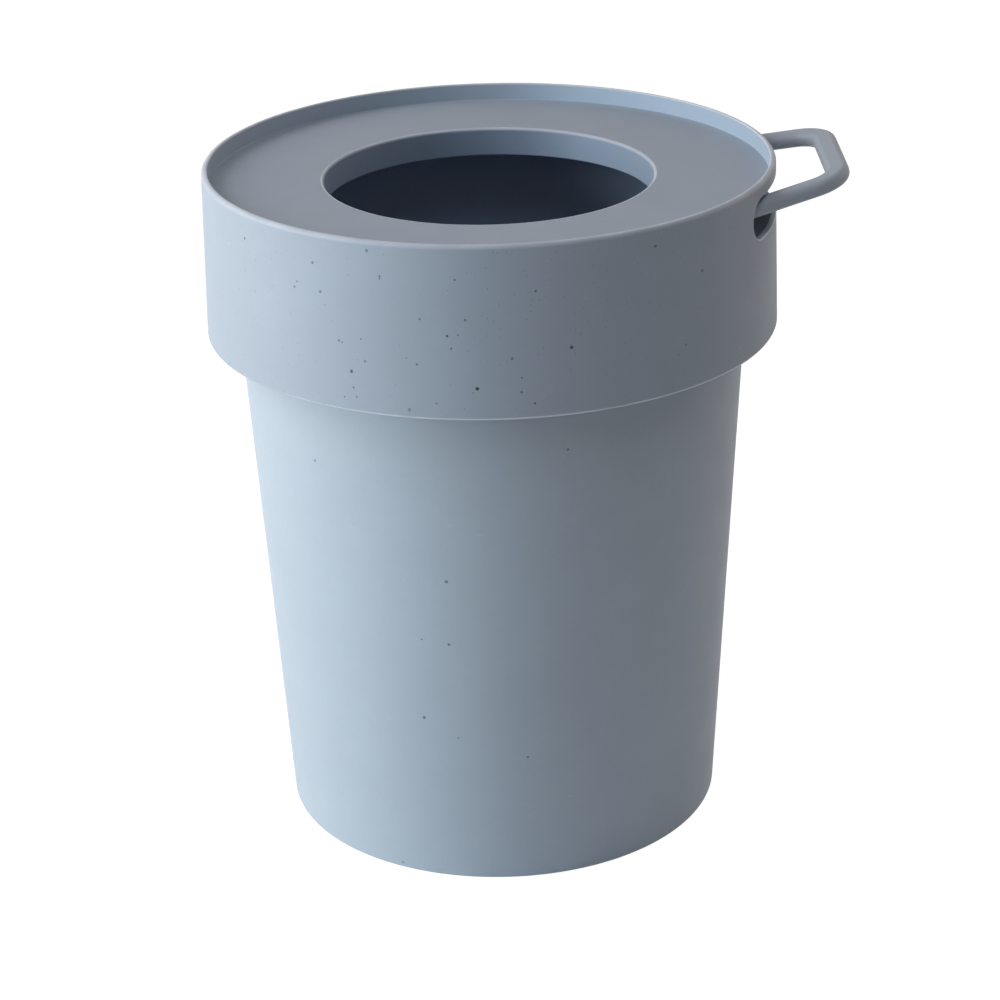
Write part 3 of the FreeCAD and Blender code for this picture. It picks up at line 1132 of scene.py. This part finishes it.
@dataclass(frozen=True)
class WearAndPaintedHighlight:
    """Pale edges, partly worn by handling and partly painted highlight, and short fine scuffs.

    Scuffs are the thin middle crossings of a noise stretched along one way,
    shown only in patches. `patch` is their noise's scale and detail.
    """

    patch: Pair = (45.0, 3.0)
    rub_and_highlight_span: Span = (0.3, 0.7, 0.55, 1.0)
    streak_turn: Triple = (0.3, 0.5, 0.9)
    streak_scale: Triple = (30.0, 260.0, 210.0)
    streak_width: float = 0.006
    scuff_span: Span = (0.58, 0.68, 0.0, 1.0)

    def group(self) -> Tree:
        """Group: place, edge share and amounts in, masks of pale edges, worn and painted highlight,
        and of scuffs out.
        """
        defaults = {"Edge": 0.0, "Rub": 0.5, "Scuff": 0.5}
        net = Effect("wear_and_painted_highlight", defaults, ("Rubbed", "Scuffed"))
        patch = net.noise(net.place, *self.patch)
        rub_and_highlight = net.product(net.given("Edge"), net.mapped(patch, self.rub_and_highlight_span), net.given("Rub"))
        inputs = {"Vector": net.place, "Rotation": self.streak_turn, "Scale": self.streak_scale}
        stretched = net.put("Mapping", inputs).outputs["Vector"]
        streak = net.noise(stretched, 1.0, 1.0)
        offset = net.maths("ABSOLUTE", net.maths("SUBTRACT", streak, 0.5))
        line = net.mapped(offset, (0.0, self.streak_width, 1.0, 0.0))
        scuff = net.product(line, net.mapped(patch, self.scuff_span), net.given("Scuff"))
        return net.give(Rubbed=rub_and_highlight, Scuffed=scuff)


def emptied(holder: bpy.types.Material | bpy.types.World) -> Net:
    """Gives a new material or world an empty node tree."""
    holder.use_nodes = True
    holder.node_tree.nodes.clear()
    return Net(holder.node_tree)


@dataclass(frozen=True)
class MattPlastic:
    """A finish of matt moulded plastic with flecks in it.

    The inner walls take a darker, bluer colour of painted shade, and the lip's inner
    wall a bluer tint; both turn to a pale colour of painted light where they face
    the lamps, on the handle's side. `pale_line` gives, from the plain colour, the pale
    colour of worn edges, scuffs and painted edge highlights.
    """

    name: str
    colour: Triple
    cloud_colour: Triple
    roughness: float = 0.62
    uneven: float = 0.04
    polish: float = 0.2
    ior: float = 1.49
    flecks: float = 0.5
    # How pale the edges turn: worn, and on the collar also painted highlight.
    rub_and_highlight: float = 0.25
    scuff: float = 0.2
    dust: float = 0.0
    # Darker, bluer colour of painted shade on the inner walls, or None for none.
    painted_shade_colour: Triple | None = None
    lip_colour: Triple | None = None
    # Pale colour of the painted light on the inner walls that face the lamps.
    painted_light_colour: Triple = (0.55, 0.75, 0.9)
    pale_line: Pair = (0.5, 0.7)
    dark_colour: Triple = (0.035, 0.037, 0.05)
    brown_colour: Triple = (0.15, 0.11, 0.09)
    brown_scale: float = 55.0
    brown_span: Span = (0.55, 0.65, 0.0, 0.7)
    placed: PlacedFlecks | None = None

    @property
    def pale(self) -> Triple:
        """The colour of worn edges, scuffs and painted edge highlights: lighter and less full."""
        base, gain = self.pale_line
        red, green, blue = (min(1.0, base + gain * c) for c in self.colour)
        return red, green, blue

    def made(self, groups: dict[str, Tree]) -> bpy.types.Material:
        """Builds the material from the shared groups.

        Args:
            groups: The groups of flecks, of skin, and of pale edges and scuffs, by name.

        Returns:
            The material.
        """
        material = bpy.data.materials.new(self.name)
        net = emptied(material)
        place = net.put("TexCoord", {}).outputs["Object"]

        def mark(name: str) -> Socket:
            """Value of one of the mesh's marks."""
            return net.put("Attribute", {}, attribute_name=name).outputs["Fac"]

        def effect(group: Tree, **values: Socket | float) -> Node:
            """Places a group in this material."""
            return net.put("Group", {"Place": place, **values}, node_tree=group)

        skin = effect(groups["skin"])
        strewn = effect(groups["flecks"], Amount=net.product(mark("strewn"), self.flecks))
        wear_and_highlight = effect(groups["wear_and_highlight"], Edge=mark("edge"), Rub=self.rub_and_highlight, Scuff=self.scuff)
        flecks, worn_and_lit = strewn.outputs["Mask"], wear_and_highlight.outputs["Rubbed"]
        if self.placed is not None:
            there = effect(self.placed.group()).outputs["Mask"]
            flecks = net.maths("MAXIMUM", flecks, there)
        colour = net.mixed(skin.outputs["Cloud"], self.colour, self.cloud_colour)
        # Painted shade: the inner walls take a darker, bluer colour.
        if self.painted_shade_colour is not None:
            colour = net.mixed(mark("inside"), colour, self.painted_shade_colour)
        if self.lip_colour is not None:
            # A bluer tint on the lip's inner wall, then a pale colour of painted light where the
            # inner walls face the lamps.
            colour = net.mixed(mark("lip"), colour, self.lip_colour)
            colour = net.mixed(mark("painted_light"), colour, self.painted_light_colour)
        # Pale edges, partly worn and partly painted highlight, then scuffs.
        colour = net.mixed(worn_and_lit, colour, self.pale)
        colour = net.mixed(wear_and_highlight.outputs["Scuffed"], colour, self.pale)
        brown = net.mapped(net.noise(place, self.brown_scale), self.brown_span)
        dark = net.mixed(brown, self.dark_colour, self.brown_colour)
        dust = net.product(strewn.outputs["Dust"], mark("dusty"), self.dust)
        colour = net.mixed(flecks, net.mixed(dust, colour, dark), dark)
        limits = self.roughness - self.uneven, self.roughness + self.uneven
        rough = net.mapped(skin.outputs["Matt"], (0.0, 1.0, *limits))
        rough = net.maths("SUBTRACT", rough, net.product(worn_and_lit, self.polish))
        height = {"Height": skin.outputs["Height"], "Strength": 1.0, "Distance": MM}
        normal = net.put("Bump", height).outputs["Normal"]
        inputs = {"Base Color": colour, "Roughness": rough, "Normal": normal, "IOR": self.ior}
        shader = net.put("BsdfPrincipled", inputs)
        net.put("OutputMaterial", {"Surface": shader.outputs[0]})
        return material


@dataclass(frozen=True)
class Lamp:
    """A soft square studio lamp, aimed at the middle of the bin. Metres and watts."""

    name: str
    place: Triple
    size: float
    power: float
    colour: Triple
    aim: Triple = (0.0, 0.0, 0.2)

    def light(self) -> None:
        """Hangs the lamp."""
        data = bpy.data.lights.new(self.name, "AREA")
        data.shape, data.size = "SQUARE", self.size
        data.energy, data.color = self.power, self.colour
        lamp = bpy.data.objects.new(self.name, data)
        ahead = Vector(self.aim) - Vector(self.place)
        lamp.location = self.place
        lamp.rotation_euler = ahead.to_track_quat("-Z", "Y").to_euler()
        lamp.visible_camera = False
        bpy.context.scene.collection.objects.link(lamp)


@dataclass
class Studio:
    """Camera, floor, sky and lamps. Metres, watts and radians.

    `focal` is the focal length as a share of the sensor's width, in millimetres.
    """

    focal: float = 2.76435
    place: Triple = (-0.000235, -1.404432, 0.778291)
    yaw: float = 0.0013059
    pitch: float = 0.408795
    roll: float = -0.0253243
    sensor: float = 36.0
    clip: Pair = (0.05, 50.0)
    floor_reach: float = 6.0
    floor_drop: float = 0.00005
    floor_colour: Triple = (0.7, 0.76, 0.84)
    floor_shade: float = 0.2
    floor_glow: float = 0.97
    sky: Triple = (1.0, 0.734, 0.516)
    sky_strength: float = 0.124
    lamps: tuple[Lamp, ...] = (
        Lamp("rear_window", (-1.734, 0.306, 0.574), 0.9, 5.4, (1.0, 0.617, 0.344)),
        Lamp("front_window", (-1.655, -0.602, 0.574), 0.9, 15.3, (0.769, 0.904, 1.0)),
        Lamp("high_window", (-1.374, -0.12, 1.357), 0.9, 11.4, (0.932, 0.897, 1.0)),
        Lamp("rear_fill", (1.465, 0.846, 0.816), 0.9, 4.65, (1.0, 0.806, 0.794)),
        Lamp("low_window", (-1.791, -0.157, 0.26), 0.5, 6.84, (0.943, 1.0, 0.952)),
        Lamp("front_top", (0.0, -0.9, 1.759), 0.9, 5.58, (0.645, 0.806, 1.0)),
    )

    def camera(self) -> None:
        """Sets the camera from its yaw, pitch and roll, looking along +Y."""
        data = bpy.data.cameras.new("camera")
        data.sensor_width = self.sensor
        data.lens = self.focal * self.sensor
        data.clip_start, data.clip_end = self.clip
        ahead = Vector((math.sin(self.yaw), math.cos(self.yaw), 0.0))
        right = Vector((math.cos(self.yaw), -math.sin(self.yaw), 0.0))
        up = Vector((0.0, 0.0, 1.0))
        look = ahead * math.cos(self.pitch) - up * math.sin(self.pitch)
        above = up * math.cos(self.pitch) + ahead * math.sin(self.pitch)
        side = right * math.cos(self.roll) + above * math.sin(self.roll)
        above = above * math.cos(self.roll) - right * math.sin(self.roll)
        turn = Matrix((side, above, -look)).transposed().to_4x4()
        camera = bpy.data.objects.new("camera", data)
        camera.matrix_world = Matrix.Translation(self.place) @ turn
        bpy.context.scene.collection.objects.link(camera)
        bpy.context.scene.camera = camera

    def seen(self, net: Net) -> Socket:
        """1 for rays of the camera, of reflections and of glass, and 0 for the others."""
        ray = net.put("LightPath", {}).outputs
        direct = net.maths("MAXIMUM", ray["Is Camera Ray"], ray["Is Glossy Ray"])
        return net.maths("MAXIMUM", direct, ray["Is Transmission Ray"])

    def floor(self) -> None:
        """Lays a pale round floor: points at radius and angle, just under the foot ring."""
        rings, spokes = 9, 64
        radius = np.linspace(0, self.floor_reach / MM, rings)[:, None]
        angle = np.linspace(0, 2 * math.pi, spokes, endpoint=False)[None, ::-1]
        points = turned_grid(radius, np.full((rings, 1), -self.floor_drop / MM), angle)
        mesh = Shell.of_grid(points, {}).mesh("floor")
        floor = bpy.data.objects.new("floor", mesh)
        bpy.context.scene.collection.objects.link(floor)
        material = bpy.data.materials.new("floor_white")
        net = emptied(material)
        matt = net.put("BsdfDiffuse", {"Color": (*self.floor_colour, 1.0)})
        shade = net.put("BsdfDiffuse", {"Color": (*[self.floor_shade] * 3, 1.0)})
        glow = net.put("Emission", {"Color": (1.0,) * 4, "Strength": self.floor_glow})
        white = net.put("AddShader", {0: shade.outputs[0], 1: glow.outputs[0]})
        inputs = {0: self.seen(net), 1: matt.outputs[0], 2: white.outputs[0]}
        net.put("OutputMaterial", {"Surface": net.put("MixShader", inputs).outputs[0]})
        mesh.materials.append(material)

    def surround(self) -> None:
        """Lights the object with a pale sky that the camera and reflections see as white."""
        world = bpy.data.worlds.new("studio")
        bpy.context.scene.world = world
        net = emptied(world)
        seen = self.seen(net)
        colour = net.mixed(seen, self.sky, (1.0, 1.0, 1.0))
        strength = net.mapped(seen, (0.0, 1.0, self.sky_strength, 1.0))
        back = net.put("Background", {"Color": colour, "Strength": strength})
        net.put("OutputWorld", {"Surface": back.outputs[0]})

    def build(self) -> None:
        """Sets up the whole studio."""
        self.camera()
        self.floor()
        self.surround()
        for lamp in self.lamps:
            lamp.light()
        bpy.context.scene.view_settings.view_transform = "Standard"


BUCKET_FLECKS = PlacedFlecks(
    "bucket_flecks", (119.9, 0.0), (139.6, 354.9),
    (
        (-109.2, 98.0, 0.57, 0.70), (-102.0, 180.3, 0.56, 0.68), (-74.4, 252.2, 0.41, 0.68),
        (-102.1, 143.5, 0.48, 0.78), (-134.3, 235.9, 0.44, 0.69), (-84.2, 75.6, 0.39, 0.74),
        (-108.6, 145.0, 0.34, 0.70), (-100.9, 87.6, 0.31, 0.64), (-117.8, 3.4, 0.50, 0.47),
    ),
)
COLLAR_FLECKS = PlacedFlecks(
    "collar_flecks", (152.5, 278.2), (150.5, 366.8),
    (
        (-93.1, 294.8, 0.60, 1.00), (-75.5, 313.1, 0.59, 1.00), (-117.3, 299.3, 0.58, 0.83),
        (-58.0, 357.1, 0.51, 0.69), (-46.5, 337.8, 0.56, 0.56), (-113.3, 362.0, 0.51, 0.59),
        (-86.6, 309.7, 0.46, 0.59), (-98.4, 321.6, 0.41, 0.87), (-125.2, 351.7, 0.50, 0.62),
        (-123.6, 337.5, 0.46, 0.65), (-105.9, 282.6, 0.54, 0.50), (-95.0, 329.8, 0.39, 0.68),
        (-144.2, 353.7, 0.47, 0.73), (-119.8, 314.2, 0.38, 0.65), (-119.1, 313.6, 0.29, 0.68),
        (-129.8, 337.1, 0.43, 0.54), (-110.9, 349.8, 0.34, 0.74), (-110.9, 348.6, 0.30, 0.73),
        (-114.4, 305.4, 0.43, 0.59), (-85.0, 292.3, 0.41, 0.72), (-82.0, 343.2, 0.39, 0.78),
        (-82.6, 286.2, 0.34, 1.00), (-51.0, 302.2, 0.37, 0.56), (-97.7, 315.3, 0.35, 0.77),
        (-103.4, 329.7, 0.37, 0.59), (-117.0, 290.9, 0.38, 0.64), (-104.2, 306.4, 0.35, 0.86),
        (-116.4, 286.1, 0.33, 0.64), (-115.1, 316.7, 0.25, 0.78), (-84.9, 299.6, 0.31, 0.89),
        (-129.1, 340.3, 0.30, 0.70), (-96.7, 350.0, 0.31, 0.84), (-93.9, 292.6, 0.23, 0.72),
        (-100.7, 286.8, 0.32, 0.51), (-119.0, 285.2, 0.32, 0.86), (-96.4, 322.2, 0.27, 0.83),
        (-106.2, 309.3, 0.26, 0.59),
    ),
)

BUCKET_FINISH = MattPlastic(
    "bucket_matt_blue_grey", (0.432, 0.512, 0.568), (0.417, 0.492, 0.548),
    # The inner colour is painted shade on the bucket's inside.
    flecks=0.3, dust=0.12, painted_shade_colour=(0.335, 0.42, 0.545), placed=BUCKET_FLECKS,
)
COLLAR_FINISH = MattPlastic(
    # The full rub makes the collar's pale edges partly painted highlight.
    "collar_matt_blue_grey", (0.365, 0.428, 0.486), (0.353, 0.413, 0.471),
    # The inner colour is painted shade on the mouth sleeve.
    flecks=0.9, rub_and_highlight=1.0, scuff=0.35, dust=0.35, painted_shade_colour=(0.25, 0.328, 0.43),
    lip_colour=(0.362, 0.44, 0.523), placed=COLLAR_FLECKS,
)
HANDLE_FINISH = MattPlastic(
    "handle_matt_blue_grey", (0.365, 0.42, 0.468), (0.35, 0.403, 0.452),
    flecks=0.15, rub_and_highlight=0.3,
)


def dress(
    piece: bpy.types.Object, part: Part, body: Body, material: bpy.types.Material
) -> None:
    """Gives a piece its finish and its body, and hides the CAD node that it stands for.

    Args:
        piece: The finished piece.
        part: The CAD node that it replaces.
        body: The body that it rides on.
        material: Its material.
    """
    piece.data.materials.append(material)
    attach(piece, body.value)
    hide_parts(part.value)
    log.info("%s rides on %s", piece.name, body.value)


def main() -> None:
    """Builds the studio and the three mouldings."""
    logging.basicConfig(level=logging.INFO, format="%(name)s: %(message)s")
    Studio().build()
    groups = {
        "flecks": StrewnFlecks().group(),
        "skin": MouldedSkin().group(),
        "wear_and_highlight": WearAndPaintedHighlight().group(),
    }
    dress(Bucket().build(), Part.BUCKET, Body.BUCKET, BUCKET_FINISH.made(groups))
    dress(Handle().build(), Part.HANDLE, Body.BUCKET, HANDLE_FINISH.made(groups))
    dress(Collar().build(), Part.COLLAR, Body.COLLAR, COLLAR_FINISH.made(groups))
    bpy.context.view_layer.update()


if __name__ == "__main__":
    main()
